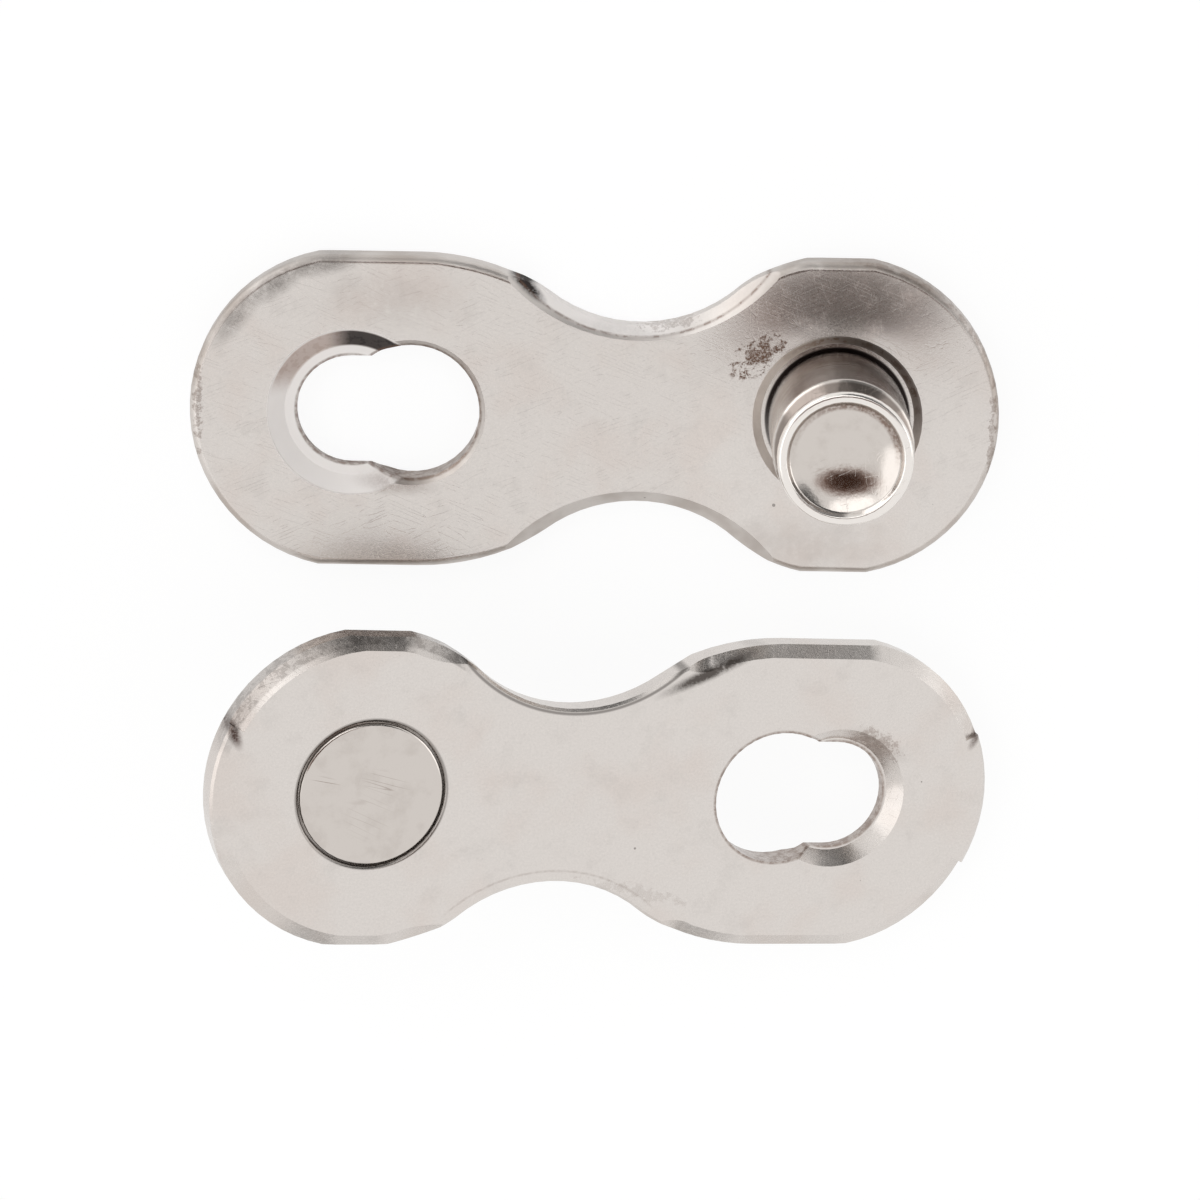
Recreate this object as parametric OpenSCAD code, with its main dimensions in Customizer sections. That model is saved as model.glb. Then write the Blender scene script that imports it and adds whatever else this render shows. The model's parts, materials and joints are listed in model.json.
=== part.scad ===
// Connecting link for a bicycle roller chain.
// Two identical halves, each a stamped outer plate with a riveted pin at one
// end and a keyhole at the other. The pin of one half locks in the keyhole of
// the other. They are laid out apart on a table, as they are sold: the upper
// one with its inner face up, the lower one with its outer face up.
// In a half's own frame the outer face is at z = 0 and the pin rises along +Z.

/* [Chain] */
// Distance between the two pin centres
pitch = 12.7; // [12:0.05:14]
// Gap between the inner faces of the two plates when the link is closed
plate_gap = 3.6; // [3.3:0.05:4.5]

/* [Plate] */
// Thickness of the stamped plate
plate_t = 1.0; // [0.95:0.01:1.15]
// Radius of the two round ends
lobe_r = 4.23; // [4.2:0.01:4.4]
// Half the width of the steel strip, which leaves a flat on both sides
strip_half = 4.14; // [3.95:0.01:4.2]
// Half the width of the plate at its waist
waist_half = 2.34; // [2.1:0.01:2.6]
// Radius of the hollow curve on each side of the waist
waist_r = 3.9; // [3.6:0.05:4.3]
// Radius of the gentle shoulder beside the keyhole
shoulder_r = 6.3; // [5.8:0.1:7]
// How far inboard of the keyhole's locking end the shoulder begins
shoulder_start = 1.75; // [1.4:0.05:2]
// Slope of the short straight edge between shoulder and waist, in degrees
shoulder_slope = 33; // [28:1:38]

/* [Plate edges] */
// Width of the slanted band on the outer face, round the ends
band_w = 0.38; // [0.2:0.01:0.45]
// Depth of that band
band_h = 0.27; // [0.15:0.01:0.35]
// Half the angle at each tip that the band leaves out, in degrees
band_break = 25; // [15:1:35]
// Where the band starts to thin out beside the pin, in degrees from the tip
band_end = 107; // [100:1:112]
// Radius with which it thins out there
band_end_r = 3.5; // [2.5:0.1:4.5]
// Where it starts to thin out on the shoulder, in degrees from the plate's length
shoulder_band_end = 70; // [67:0.5:76]
// Radius with which it thins out there
shoulder_band_end_r = 1.1; // [1:0.05:1.5]
// Small break on the edges that have no band
edge_break = 0.07; // [0.03:0.01:0.12]
// Rolled-over edge on the inner face, round the ends
roll_r = 0.22; // [0.12:0.01:0.3]
// Width of the crescent cut on the inner face at the waist
crescent_w = 0.33; // [0.2:0.01:0.45]
// Depth of that crescent
crescent_h = 0.35; // [0.2:0.01:0.45]
// Radius of the crescent's inner line
crescent_r = 4.62; // [4.4:0.02:5]

/* [Keyhole] */
// Radius of the keyhole's locking end, and half the width of its throat
throat_r = 1.44; // [1.35:0.01:1.5]
// Radius of the opening that the pin's head goes in by
entry_r = 1.78; // [1.7:0.01:1.9]
// How far the pin slides from the opening to the locking end
lock_travel = 1.57; // [1.4:0.01:1.8]
// Break of the opening's edge on the inner face
entry_break = 0.16; // [0.08:0.01:0.2]
// Radius of the coned seat on the inner face, at the face
seat_r = 2.2; // [2.1:0.01:2.4]
// Radius of the flat at the bottom of that seat
seat_floor_r = 1.76; // [1.65:0.01:1.85]
// Depth of that seat
seat_h = 0.35; // [0.25:0.01:0.4]
// Radius of the coned recess on the outer face, at the face
recess_r = 1.9; // [1.85:0.01:2.05]
// Radius of the flat at the bottom of that recess
recess_floor_r = 1.55; // [1.5:0.01:1.65]
// Depth of that recess
recess_h = 0.38; // [0.3:0.01:0.4]

/* [Pin] */
// Radius of the pin's bearing barrel
barrel_r = 1.82; // [1.7:0.01:1.9]
// Radius of the shank that is riveted in the plate
shank_r = 1.55; // [1.4:0.01:1.65]
// Play round the neck in the throat
neck_clear = 0.04; // [0.02:0.01:0.08]
// Play round the head in the opening
head_clear = 0.05; // [0.03:0.01:0.08]
// Play along the pin on each side of the locked plate
end_clear = 0.04; // [0.02:0.01:0.06]
// Height of the cone under the head
head_cone_h = 0.23; // [0.15:0.01:0.3]
// How far the head stands out of the locked plate
head_proud = 0.15; // [0.05:0.01:0.3]
// Radius of the head's rounded rim
rim_r = 0.13; // [0.08:0.01:0.15]
// Radius of the dish in the head, at the rim
dish_r = 1.5; // [1.35:0.01:1.55]
// Height of the dish's steep wall
dish_wall_h = 0.12; // [0.05:0.01:0.2]
// How far that wall leans in
dish_wall_w = 0.1; // [0.05:0.01:0.15]
// Depth of the dish's bowl below its wall
bowl_h = 0.34; // [0.15:0.01:0.45]

/* [Rivet] */
// Radius of the pin's flat rear disc, on the plate's outer face
disc_r = 1.9; // [1.8:0.01:2]
// Play round that disc
disc_clear = 0.05; // [0.02:0.01:0.08]
// Depth of the pocket that holds the disc
disc_h = 0.33; // [0.25:0.01:0.4]
// Break of the disc's edge
disc_break = 0.05; // [0.02:0.01:0.08]
// How much the disc narrows towards its foot, as it left its die
disc_draft = 0.04; // [0.02:0.01:0.08]
// Rounding of the pocket's edge
pocket_round = 0.1; // [0.05:0.01:0.15]
// Play round the barrel's foot in the inner face
foot_clear = 0.06; // [0.03:0.01:0.1]
// Depth of the seat that the barrel's foot stands in
foot_h = 0.16; // [0.13:0.01:0.18]
// Width of the coined lip round that seat
lip_w = 0.12; // [0.06:0.01:0.16]
// Width of the slanted ring outside the lip
ring_w = 0.22; // [0.12:0.01:0.3]
// Depth of that ring
ring_h = 0.12; // [0.06:0.01:0.16]

/* [Layout] */
// Gap between the two halves, seen from above
layout_gap = 0.55; // [0.3:0.01:5]
// How far the lower half lies to the right
lower_shift = 0.5; // [0:0.01:0.52]
// How far the lower half is turned on the table, in degrees
lower_turn = -5; // [-6:0.5:0]

/* [Hidden] */
$fn = 96;
steel = [0.82, 0.80, 0.78];
pin_steel = [0.74, 0.72, 0.70];
over = 1;

// Places along a half, in its own frame
pin_x = pitch / 2;
seat_x = -pitch / 2;
entry_x = seat_x + lock_travel;
shoulder_x = seat_x + shoulder_start;
shoulder_y = strip_half - shoulder_r;

// The waist curve runs into the pin's round end, and into the straight edge on
// its other side, at so small an angle that no corner shows
run_in = 5;
waist_y = waist_half + waist_r;
waist_to_pin = sqrt(pow(lobe_r, 2) + pow(waist_r, 2) + 2 * lobe_r * waist_r * cos(run_in));
waist_reach = sqrt(pow(waist_to_pin, 2) - pow(waist_y, 2));
waist_x = pin_x - waist_reach;
crescent_y = waist_half - crescent_w + crescent_r;

// The web's corners: one in the pin's round end, where the waist curve starts,
// and one on the shoulder, just past the straight edge that trims it
web_angle = 180 - atan2(waist_y, waist_reach) - run_in;
web_r = lobe_r - 2 * edge_break;
web_x = pin_x + web_r * cos(web_angle);
web_y = web_r * sin(web_angle);
edge_away = (waist_x - shoulder_x) * sin(shoulder_slope) + (waist_y - shoulder_y) * cos(shoulder_slope)
    - waist_r * cos(run_in);
trim_r = max(shoulder_r, edge_away) + edge_break;
trim_x = shoulder_x + trim_r * sin(shoulder_slope);
trim_y = shoulder_y + trim_r * cos(shoulder_slope);

// Along the flats and on the shoulder the band is a little narrower. The flats'
// band takes over in the keyhole's round end here, and each band's thin end
// bites this much into the band, so that they cross
flat_band = 0.85;
shoulder_band = 0.8;
shoulder_inner_r = shoulder_r - shoulder_band * band_w;
keyhole_band_end = 95;
bite = 0.02;

// Heights along the pin, from the outer face of its own plate
seat_land = plate_t + plate_gap + seat_h;
recess_land = plate_t + plate_gap + plate_t - recess_h;
neck_r = throat_r - neck_clear;
head_r = entry_r - head_clear;
neck_foot = seat_land - end_clear;
barrel_top = neck_foot - (barrel_r - neck_r);
neck_top = recess_land + end_clear;
head_edge = neck_top + head_cone_h;
tip = plate_t + plate_gap + plate_t + head_proud;
foot_z = plate_t - foot_h;
foot_r = barrel_r + foot_clear;
lip_r = foot_r + lip_w;
ring_r = lip_r + ring_w;
pocket_r = disc_r + disc_clear;

// The bowl is part of a sphere
bowl_mouth = dish_r - dish_wall_w;
bowl_sphere = (pow(bowl_mouth, 2) + pow(bowl_h, 2)) / (2 * bowl_h);
bowl_half = asin(bowl_mouth / bowl_sphere);
bowl_floor = tip - dish_wall_h - bowl_h;

// The lower half lies on the rim of its head and on the far end of its plate
rim_x = pin_x - head_r + rim_r;
rim_z = tip - rim_r;
end_x = seat_x - lobe_r + roll_r;
end_z = plate_t - roll_r;
span = sqrt(pow(rim_x - end_x, 2) + pow(rim_z - end_z, 2));
lean = atan2(rim_z - end_z, rim_x - end_x) - asin((roll_r - rim_r) / span);
lower_lift = roll_r + end_z * cos(lean) - end_x * sin(lean);

// How far the lower half reaches up and down from its middle, to the corners
// where the strip's edge meets the round ends; the layout is centred with it
half_width = min(strip_half, lobe_r);
corner_x = pitch / 2 + sqrt(pow(lobe_r, 2) - pow(half_width, 2));
corner_up = corner_x * cos(lean) + end_z * sin(lean);
corner_down = corner_x * cos(lean) - flat_band * band_h * sin(lean);
reach_up = half_width * cos(lower_turn) - corner_up * sin(lower_turn);
reach_down = half_width * cos(lower_turn) - corner_down * sin(lower_turn);
upper_y = (layout_gap + reach_up + reach_down) / 2;
lower_y = upper_y - half_width - layout_gap - reach_up;

// Points of an arc, from one angle to another
function arc(x, y, r, from, to, steps = 8) =
    [for (i = [0:steps]) let (a = from + (to - from) * i / steps) [x + r * cos(a), y + r * sin(a)]];

// Section of a round edge: small break below, rolled edge above
module end_section(r) {
    polygon(concat(
        [[0, 0], [r - edge_break, 0], [r, edge_break]],
        arc(r - roll_r, plate_t - roll_r, roll_r, 0, 90),
        [[0, plate_t]]
    ));
}

// A round end, before its slanted band is struck
module round_end(x) {
    translate([x, 0, 0]) rotate_extrude() end_section(lobe_r);
}

// The slanted band along a stretch of a round edge, whose inner line has radius r
module band_cut(x, y, r, from, to) {
    translate([x, y, 0]) rotate([0, 0, from]) rotate_extrude(angle = to - from)
        polygon([[r - band_w, -band_h], [r + 2 * band_w, 2 * band_h], [r + 2 * band_w, -band_h]]);
}

// The end of that band, where it thins out along a curve of its own
module band_end_cut(x, y, r, at, end_r) {
    translate([x, y, 0]) rotate([0, 0, at]) translate([r + end_r - bite, 0, -band_h])
        cylinder(h = 3 * band_h, r1 = end_r + band_w, r2 = end_r - 2 * band_w);
}

// The gentle shoulder beside the keyhole, on the +Y side
module shoulder() {
    intersection() {
        translate([shoulder_x, shoulder_y, 0])
            rotate_extrude() end_section(shoulder_r);
        translate([seat_x, 0, -over])
            cube([waist_x - seat_x, strip_half + over, plate_t + 2 * over]);
    }
}

// The web between the ends, which the strip and the waist cut to shape
module web() {
    inner_y = strip_half - band_w;
    side = [
        [seat_x, strip_half + over], [shoulder_x, strip_half + over], [shoulder_x, inner_y],
        [trim_x, trim_y], [web_x, web_y]
    ];
    other_side = [for (i = [len(side) - 1:-1:0]) [side[i][0], -side[i][1]]];
    linear_extrude(plate_t) polygon(concat(side, [[pin_x, 0]], other_side));
}

// The strip of steel that the plate is stamped from, with its slanted band
module strip() {
    length = pitch + 2 * lobe_r + over;
    roll = arc(strip_half - roll_r, plate_t - roll_r, roll_r, 0, 90);
    side = concat([[strip_half - flat_band * band_w, 0], [strip_half, flat_band * band_h]], roll);
    other_side = [for (i = [len(side) - 1:-1:0]) [-side[i][0], side[i][1]]];
    rotate([90, 0, 90]) translate([0, 0, -length / 2]) linear_extrude(length)
        polygon(concat(side, other_side));
}

// Section of what the punch takes out, with a small break of the outer edge
module waist_section(r) {
    polygon([
        [0, -over], [r + edge_break + over, -over], [r, edge_break], [r, plate_t + over], [0, plate_t + over]
    ]);
}

// What the punch takes out beside the waist, on the +Y side
module waist_cut() {
    translate([waist_x, waist_y, 0]) {
        rotate_extrude() waist_section(waist_r);
        // beyond the curve the edge runs on straight, up to the shoulder
        rotate([90, 0, -90 - shoulder_slope])
            linear_extrude(pitch / 2) waist_section(waist_r * cos(run_in));
    }
    // the slanted crescent on the inner face
    translate([waist_x, crescent_y, plate_t - 2 * crescent_h])
        cylinder(h = 4 * crescent_h, r1 = crescent_r - 2 * crescent_w, r2 = crescent_r + 2 * crescent_w);
}

// The keyhole, with its coned seat on the inner face and recess on the outer
module keyhole() {
    translate([entry_x, 0, -over]) cylinder(h = plate_t + 2 * over, r = entry_r);
    translate([seat_x, 0, -over]) cylinder(h = plate_t + 2 * over, r = throat_r);
    translate([seat_x, -throat_r, -over]) cube([lock_travel, 2 * throat_r, plate_t + 2 * over]);
    translate([entry_x, 0, plate_t - entry_break])
        cylinder(h = entry_break + over, r1 = entry_r, r2 = entry_r + entry_break + over);
    translate([seat_x, 0, 0]) {
        translate([0, 0, plate_t - seat_h]) cylinder(h = seat_h, r1 = seat_floor_r, r2 = seat_r);
        cylinder(h = recess_h, r1 = recess_r, r2 = recess_floor_r);
        translate([0, 0, plate_t]) cylinder(h = over, r = seat_r);
        translate([0, 0, -over]) cylinder(h = over, r = recess_r);
    }
}

// The riveted hole at the pin, with its coined ring
module pin_hole() {
    translate([pin_x, 0, 0]) rotate_extrude() polygon(concat(
        [[0, -over], [pocket_r + pocket_round, -over]],
        arc(pocket_r + pocket_round, pocket_round, pocket_round, -90, -180),
        [[pocket_r, disc_h], [shank_r, disc_h], [shank_r, foot_z], [foot_r, foot_z]],
        [[foot_r, plate_t - ring_h], [lip_r, plate_t - ring_h], [ring_r, plate_t]],
        [[ring_r, plate_t + over], [0, plate_t + over]]
    ));
}

module plate() {
    difference() {
        intersection() {
            union() {
                round_end(pin_x);
                round_end(seat_x);
                shoulder();
                mirror([0, 1, 0]) shoulder();
                web();
            }
            strip();
        }
        for (side = [0, 1]) mirror([0, side, 0]) {
            waist_cut();
            band_cut(pin_x, 0, lobe_r - band_w, band_break, band_end);
            band_end_cut(pin_x, 0, lobe_r - band_w, band_end, band_end_r);
            band_cut(seat_x, 0, lobe_r - band_w, keyhole_band_end, 180 - band_break);
            band_cut(shoulder_x, shoulder_y, shoulder_inner_r, shoulder_band_end, 90);
            band_end_cut(shoulder_x, shoulder_y, shoulder_inner_r, shoulder_band_end, shoulder_band_end_r);
        }
        keyhole();
        pin_hole();
    }
}

// The turned pin: rear disc, shank, barrel, neck and dished head
module pin() {
    translate([pin_x, 0, 0]) rotate_extrude() polygon(concat(
        [[0, 0], [disc_r - disc_break, 0], [disc_r, disc_break], [disc_r - disc_draft, disc_h]],
        [[shank_r, disc_h], [shank_r, foot_z], [barrel_r, foot_z], [barrel_r, barrel_top]],
        [[neck_r, neck_foot], [neck_r, neck_top], [head_r, head_edge]],
        arc(head_r - rim_r, tip - rim_r, rim_r, 0, 90),
        [[dish_r, tip], [bowl_mouth, tip - dish_wall_h]],
        [for (i = [7:-1:0]) let (a = bowl_half * i / 8)
            [bowl_sphere * sin(a), bowl_floor + bowl_sphere * (1 - cos(a))]]
    ));
}

// The upper half lies on its outer face
module upper() {
    translate([0, upper_y, 0]) children();
}

// The lower half lies with its outer face up, on its head and its far end
module lower() {
    translate([lower_shift, lower_y, lower_lift]) rotate([0, 0, lower_turn])
        rotate([0, 180 + lean, 0]) children();
}

module upper_plate() {
    color(steel) upper() plate();
}

module upper_pin() {
    color(pin_steel) upper() pin();
}

module lower_plate() {
    color(steel) lower() plate();
}

module lower_pin() {
    color(pin_steel) lower() pin();
}

upper_plate();
upper_pin();
lower_plate();
lower_pin();
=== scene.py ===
# %% [markdown]
# # A chain connecting link
#
# A bicycle chain is closed by a link in two halves. Each half is a small
# stamped steel plate with a pin riveted in one end and a keyhole at the other.
# The pin of one half goes into the keyhole of the other and slides until it
# locks. Here the two halves lie apart on a white table, as in a shop's
# picture: the upper one shows its inner face and its pin, the lower one its
# outer face.
#
# The shapes come as exact solids. What is left to do is what the eye notices
# next: the finish of plated steel, the soft edges that a press leaves, stains,
# scratches, the light that such metal mirrors, and some shade and highlights
# that are painted into the metal's colour.

# %% Load the solids
import json
import math
import bpy
from mathutils import Euler, Matrix, Vector


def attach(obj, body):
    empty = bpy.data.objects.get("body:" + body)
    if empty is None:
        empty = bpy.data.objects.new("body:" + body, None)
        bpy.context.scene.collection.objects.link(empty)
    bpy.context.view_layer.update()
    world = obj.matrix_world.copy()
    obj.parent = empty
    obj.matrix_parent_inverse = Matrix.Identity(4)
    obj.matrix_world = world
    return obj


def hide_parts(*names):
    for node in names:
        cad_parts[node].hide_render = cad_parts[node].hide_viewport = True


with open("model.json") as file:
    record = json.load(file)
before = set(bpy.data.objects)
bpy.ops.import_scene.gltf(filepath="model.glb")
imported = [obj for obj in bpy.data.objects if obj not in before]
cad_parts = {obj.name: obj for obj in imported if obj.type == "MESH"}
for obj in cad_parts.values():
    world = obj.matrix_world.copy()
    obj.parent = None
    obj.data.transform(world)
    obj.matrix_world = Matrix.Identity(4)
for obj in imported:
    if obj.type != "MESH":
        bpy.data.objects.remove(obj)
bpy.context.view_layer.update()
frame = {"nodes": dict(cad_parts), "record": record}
nodes = frame["nodes"]
MM = 0.001
print("solids:", ", ".join(sorted(nodes)))

# %% [markdown]
# ## Where each half lies
#
# Stains, scratches and the gentle roll of an edge belong to a half, not to the
# table, so each half gets a frame of its own: +X from its keyhole to its pin,
# +Y up in the picture, +Z out of its inner face, where z is 0. The record
# names the pin's and the keyhole's places, and the frame follows from them.

# %% Each half's own frame
mounts = {mount["name"]: mount for mount in frame["record"]["mounts"]}


def half_frame(half):
    """The half's frame in the row frame, and the distance from keyhole to pin in mm."""
    pin, keyhole = mounts[half + "_pin_barrel"], mounts[half + "_keyhole"]
    up = Vector(pin["axis"]).normalized()
    across = Vector(pin["pos_m"]) - Vector(keyhole["pos_m"])
    along = across - up * across.dot(up)
    middle = Vector(keyhole["pos_m"]) + along / 2
    turn = Matrix((along.normalized(), up.cross(along.normalized()), up)).transposed()
    return Matrix.Translation(middle) @ turn.to_4x4(), along.length / MM


HALVES = {half: half_frame(half)[0] for half in ("upper", "lower")}
PITCH = half_frame("upper")[1]
for half, place in HALVES.items():
    lean = math.degrees(place.to_3x3().col[2].angle(Vector((0, 0, 1))))
    middle_mm = [round(v / MM, 2) for v in place.translation]
    print(half, "middle in mm:", middle_mm, "turned by", round(lean, 1))
print("pitch in mm:", round(PITCH, 2))

# %% [markdown]
# ## Soft edges
#
# Nothing that comes out of a press or off a lathe has a perfectly sharp edge,
# and on shiny metal each edge shows as a fine bright or dark line, because its
# rounding mirrors something else than the faces beside it. The solids' edges
# are sharp. They could be rounded in the shader, but then the exported model
# would lose it, so the mesh itself is bevelled.
#
# First its triangles are merged and its flat faces made one, so that only true
# edges are left. The operators' tolerances suit shapes a few units large, so
# this is done in millimetres.

# %% A clean copy of a solid
MERGE_MM = 0.0005
FLAT_DEG = 0.4


def clean_copy(name):
    """A copy of the CAD node in mm, with merged triangles and whole flat faces."""
    piece = bpy.data.objects.new(name + "_soft", nodes[name].data.copy())
    bpy.context.scene.collection.objects.link(piece)
    piece.data.transform(Matrix.Scale(1 / MM, 4))
    bpy.ops.object.select_all(action="DESELECT")
    bpy.context.view_layer.objects.active = piece
    piece.select_set(True)
    if piece.data.has_custom_normals:
        bpy.ops.mesh.customdata_custom_splitnormals_clear()
    bpy.ops.object.mode_set(mode="EDIT")
    bpy.ops.mesh.select_mode(type="EDGE")
    bpy.ops.mesh.select_all(action="SELECT")
    bpy.ops.mesh.remove_doubles(threshold=MERGE_MM)
    bpy.ops.mesh.dissolve_limited(angle_limit=math.radians(FLAT_DEG))
    bpy.ops.mesh.select_all(action="DESELECT")
    bpy.ops.object.mode_set(mode="OBJECT")
    print(piece.name, "starts with", len(piece.data.polygons), "faces")
    return piece


# %% [markdown]
# ## Rounding without bent reflections
#
# Every sharp edge gets a narrow round. It would pull the shading of the flat
# face beside it, and on a mirror even one degree shows. So the normals are
# weighed by the faces' sizes, and the corners of every large flat face get
# exactly that face's normal.

# %% Round the edges of a piece
SHARP_DEG = 20
SMOOTH_DEG = 40
FACE_WEIGHT = 90


def round_edges(piece, edge_mm, segments):
    """Rounds every sharp edge of the active piece, and smooths what isn't sharp."""
    bevel = piece.modifiers.new("edges", "BEVEL")
    bevel.width = edge_mm
    bevel.segments = segments
    bevel.limit_method = "ANGLE"
    bevel.angle_limit = math.radians(SHARP_DEG)
    bevel.use_clamp_overlap = True
    bpy.ops.object.modifier_apply(modifier=bevel.name)
    bpy.ops.object.shade_smooth_by_angle(angle=math.radians(SMOOTH_DEG))
    weigh = piece.modifiers.new("flat_faces_stay_flat", "WEIGHTED_NORMAL")
    weigh.mode = "FACE_AREA"
    weigh.weight = FACE_WEIGHT
    weigh.keep_sharp = True
    bpy.ops.object.modifier_apply(modifier=weigh.name)


print("edges that turn by more than", SHARP_DEG, "degrees are rounded")


# %% Keep large flat faces flat
FLAT_FACE_MM2 = 5.0


def keep_flat(mesh):
    """Gives the corners of each large flat face that face's own normal."""
    normals = [corner.vector.copy() for corner in mesh.corner_normals]
    for face in mesh.polygons:
        if face.area > FLAT_FACE_MM2:
            for corner in face.loop_indices:
                normals[corner] = face.normal
    mesh.normals_split_custom_set(normals)


print("faces of more than", FLAT_FACE_MM2, "mm2 stay exactly flat")


# %% Soften all four pieces
PLATE_EDGE_MM, PLATE_SEGMENTS = 0.035, 2
PIN_EDGE_MM, PIN_SEGMENTS = 0.05, 3


def soften(name, edge_mm, segments):
    """A copy of the CAD node with rounded edges, which is shown in its place."""
    piece = clean_copy(name)
    round_edges(piece, edge_mm, segments)
    keep_flat(piece.data)
    piece.data.transform(Matrix.Scale(MM, 4))
    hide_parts(name)
    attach(piece, "root")
    print(piece.name, "has", len(piece.data.polygons), "faces")
    return piece


plates = {half: soften(half + "_plate", PLATE_EDGE_MM, PLATE_SEGMENTS) for half in HALVES}
pins = {half: soften(half + "_pin", PIN_EDGE_MM, PIN_SEGMENTS) for half in HALVES}

# %% [markdown]
# ## Colours and nodes
#
# Colours are written as in a picture editor, in sRGB, and turned into the
# linear light that Blender reckons with by one function. A second one adds a
# node with its settings and links, so that a material reads from top to
# bottom like a recipe. Two settings come so often that they get short names:
# a range that rises smoothly, and a mix of two colours.

# %% Helpers for materials
SMOOTH = {"interpolation_type": "SMOOTHSTEP"}
COLOURS = {"data_type": "RGBA"}


def linear(hex_colour):
    """Linear RGBA of an sRGB hex colour."""
    channels = [int(hex_colour[i:i + 2], 16) / 255 for i in (0, 2, 4)]
    return *(c / 12.92 if c <= 0.04045 else ((c + 0.055) / 1.055) ** 2.4 for c in channels), 1.0


def add(tree, kind, *values, **named):
    """Adds a shader node and gives its first output.

    The values fill the inputs in use, from the first one on. A named value in
    small letters is a setting, and one with a capital is an input. Where a
    value is another node's output, it is linked.
    """
    node = tree.nodes.new("ShaderNode" + kind)
    for name, value in named.items():
        if name.islower():
            setattr(node, name, value)
    pairs = list(zip([socket for socket in node.inputs if socket.enabled], values))
    pairs += [(node.inputs[name], value) for name, value in named.items() if not name.islower()]
    for socket, value in pairs:
        if isinstance(value, bpy.types.NodeSocket):
            tree.links.new(value, socket)
        else:
            socket.default_value = value
    return next(socket for socket in node.outputs if socket.enabled)


print("white in linear light:", linear("FFFFFF"))

# %% [markdown]
# ## A finish that knows its face
#
# A stain lies at a place on the plate, so a finish has to know where on its
# own half each point is. Object coordinates are the same for all pieces here,
# in metres. A Mapping node turns them into the half's own frame, in mm, so
# that no empty per half is needed. It could be done with one empty per half,
# but the export drops those.

# %% A new finish
PIN_AT = (PITCH / 2, 0)
KEYHOLE_AT = (-PITCH / 2, 0)
# on a face, one step is a millimetre
FACE_MM = (MM, MM, MM)


def new_finish(name, half):
    """A material, its tree and its shader, and the place on the half's own face in mm."""
    material = bpy.data.materials.new(name + "_" + half)
    material.use_nodes = True
    tree = material.node_tree
    spot = add(tree, "TexCoord").node.outputs["Object"]
    matrix = HALVES[half]
    turn = matrix.to_euler()
    place = add(tree, "Mapping", spot, matrix.translation, turn, FACE_MM, vector_type="TEXTURE")
    return material, tree, tree.nodes["Principled BSDF"], place


print("on a half, in mm: pin at", PIN_AT, "keyhole at", KEYHOLE_AT)

# %% [markdown]
# ## Places on a face
#
# Three shapes say where a mark lies. A patch is an ellipse on the face, for a
# stain or a smear. A reach is the distance from an axis that stands on the
# face, and a band of it is a ring: round the pin, in a recess, along a rim.

# %% Patch, reach and band
ON_FACE = (1, 1, 0)


def patch(tree, place, centre, size, angle, edge):
    """1 inside an ellipse on the face, fading to 0 at its edge."""
    turn = (0, 0, math.radians(angle))
    inward = add(tree, "Mapping", place, (*centre, 0), turn, (*size, 1), vector_type="TEXTURE")
    flat = add(tree, "VectorMath", inward, ON_FACE, operation="MULTIPLY")
    away = add(tree, "VectorMath", flat, operation="LENGTH")
    return add(tree, "MapRange", away, 1.0, edge, **SMOOTH)


def reach(tree, place, centre):
    """How far the place lies from an axis that stands on the face, in mm."""
    away = add(tree, "VectorMath", place, (*centre, 0), operation="SUBTRACT")
    flat = add(tree, "VectorMath", away, ON_FACE, operation="MULTIPLY")
    return add(tree, "VectorMath", flat, operation="LENGTH")


def band(tree, value, low, high, soft):
    """1 where the value lies between low and high, with soft ends."""
    rise = add(tree, "MapRange", value, low - soft, low + soft, **SMOOTH)
    fall = add(tree, "MapRange", value, high + soft, high - soft, **SMOOTH)
    return add(tree, "Math", rise, fall, operation="MULTIPLY")


# %% [markdown]
# ## Scratches and pits
#
# Scratches are hair-thin lines of many directions: the thin places where a
# strongly stretched noise passes its middle value. A gate keeps them only
# where the metal's fine clouds are dense, so that each line is short. A real
# scratch is a few thousandths of a millimetre wide, which is finer than a
# pixel here, so they are drawn as wide as they need to show.
#
# Pits are tiny dark dots, one in each cell of a share of the cells.

# %% Scratches
LINE_MIDDLE = 0.5
LINE_APART_MM = 1 / 6
LINE_DEPTH_MM = 1 / 2
LINE_WAVER = 0.1


def scratches(tree, place, angle, length_mm, width, gate):
    """1 on hair lines that run at an angle, where the gate is open; 0 elsewhere."""
    turned = add(
        tree, "Mapping", place, Rotation=(0, 0, math.radians(angle)),
        Scale=(length_mm, LINE_APART_MM, LINE_DEPTH_MM), vector_type="TEXTURE",
    )
    noise = add(tree, "TexNoise", turned, Scale=1.0, Detail=0.0, Distortion=LINE_WAVER)
    away = add(tree, "Math", noise, LINE_MIDDLE, operation="SUBTRACT")
    away = add(tree, "Math", away, operation="ABSOLUTE")
    line = add(tree, "MapRange", away, width, 0.0, **SMOOTH)
    return add(tree, "Math", line, gate, operation="MULTIPLY")


print("scratches: at most one every", round(LINE_APART_MM, 2), "mm")


# %% Pits
def pits(tree, place, apart_mm, size_mm, share):
    """1 on small round pits, 0 elsewhere."""
    away = add(tree, "TexVoronoi", place, Scale=1 / apart_mm, Randomness=1.0, feature="F1")
    drawn = add(tree, "SeparateColor", away.node.outputs["Color"]).node.outputs
    size = add(tree, "Math", drawn["Green"], size_mm / apart_mm, operation="MULTIPLY")
    inside = add(tree, "Math", away, size, operation="LESS_THAN")
    kept = add(tree, "Math", drawn["Red"], share, operation="LESS_THAN")
    return add(tree, "Math", inside, kept, operation="MULTIPLY")


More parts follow.
